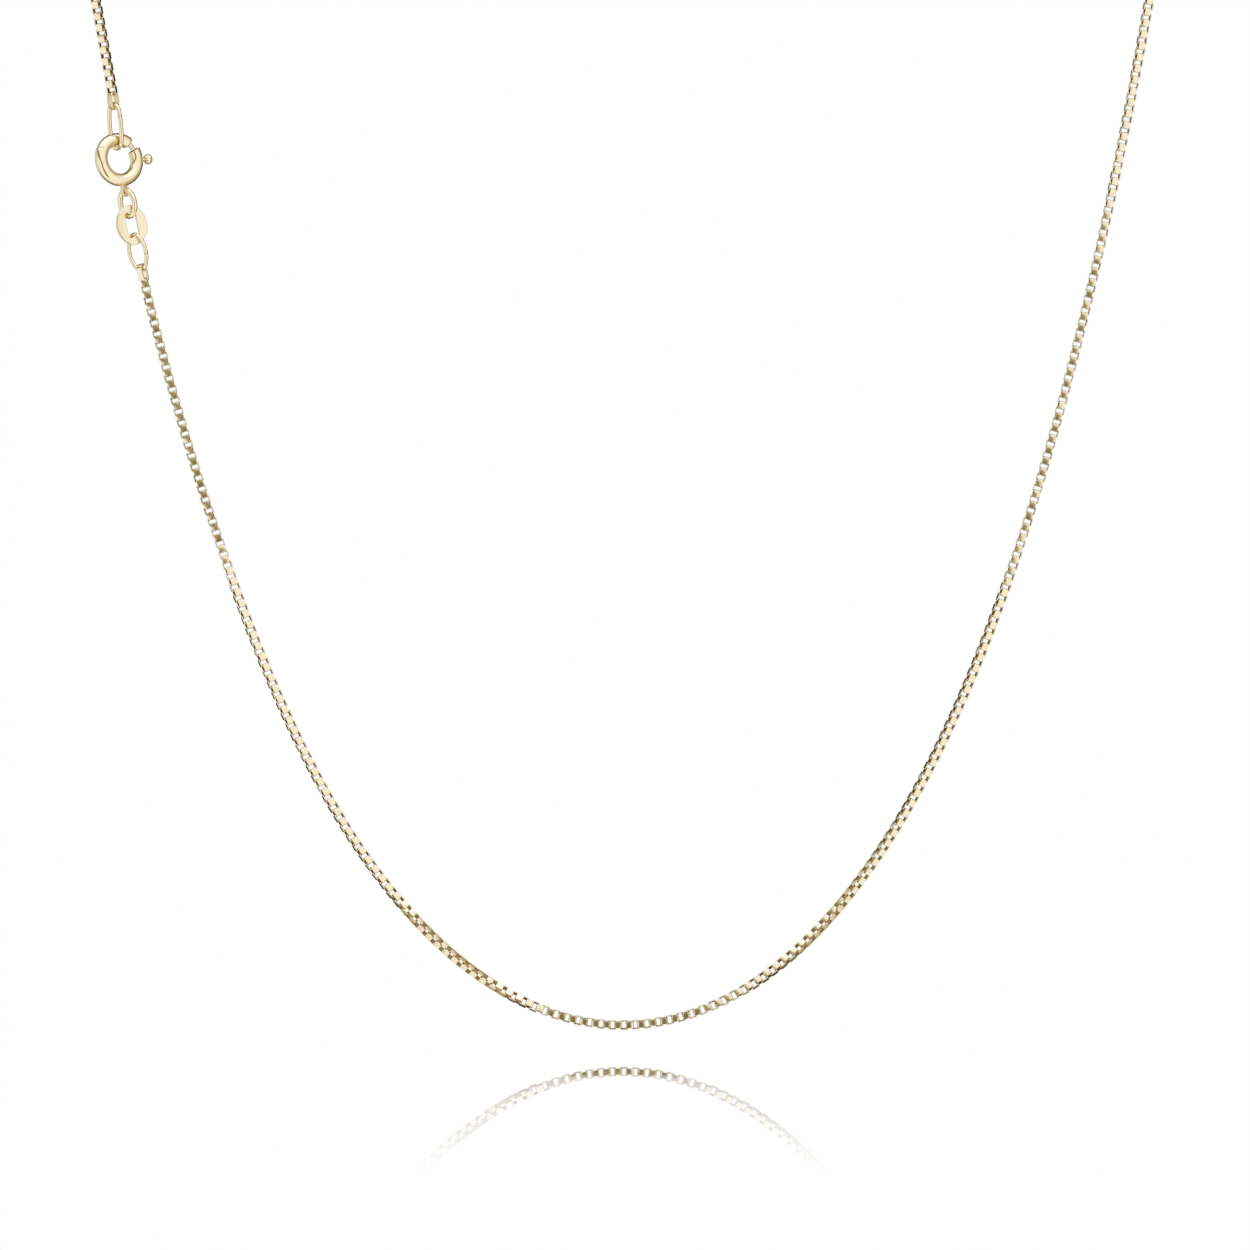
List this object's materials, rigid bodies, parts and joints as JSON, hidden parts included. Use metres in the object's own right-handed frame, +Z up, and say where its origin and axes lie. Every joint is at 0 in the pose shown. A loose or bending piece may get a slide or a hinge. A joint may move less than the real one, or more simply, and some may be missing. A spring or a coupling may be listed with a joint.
{
  "type": "box chain necklace with spring ring clasp",
  "caption": "Fine box chain necklace in yellow gold, a closed loop in its worn form, with a spring ring clasp, jump rings, an oval link and a small pierced oval tag.",
  "frame": {"origin": "the nape, the middle of the chain's hidden stretch, where the necklace rests on the back of the neck", "axes": "+X to the right as seen from the front, +Y towards the back, +Z up"},
  "size_m": [0.1117, 0.0525, 0.1456],
  "materials": {
    "chain_gold": "polished 14 carat yellow gold, flat strip links",
    "clasp_gold": "polished 14 carat yellow gold, drawn wire and tube"
  },
  "bodies": {
    "necklace": {"chain": "chain_gold", "upper_ring": "clasp_gold", "spring_ring": "clasp_gold", "clasp_link": "clasp_gold", "tag": "clasp_gold", "lower_ring": "clasp_gold"},
    "latch": {"latch": "clasp_gold"}
  },
  "joints": [
    {"name": "latch_turn", "type": "hinge", "parent": "necklace", "child": "latch", "pos_m": [-0.05144, -0.05, -0.05584], "axis": [-0.577, 0.809, -0.1122], "range_deg": [0, 40], "stiffness_Nm_per_rad": 0.001, "springref_deg": -28.65}
  ]
}
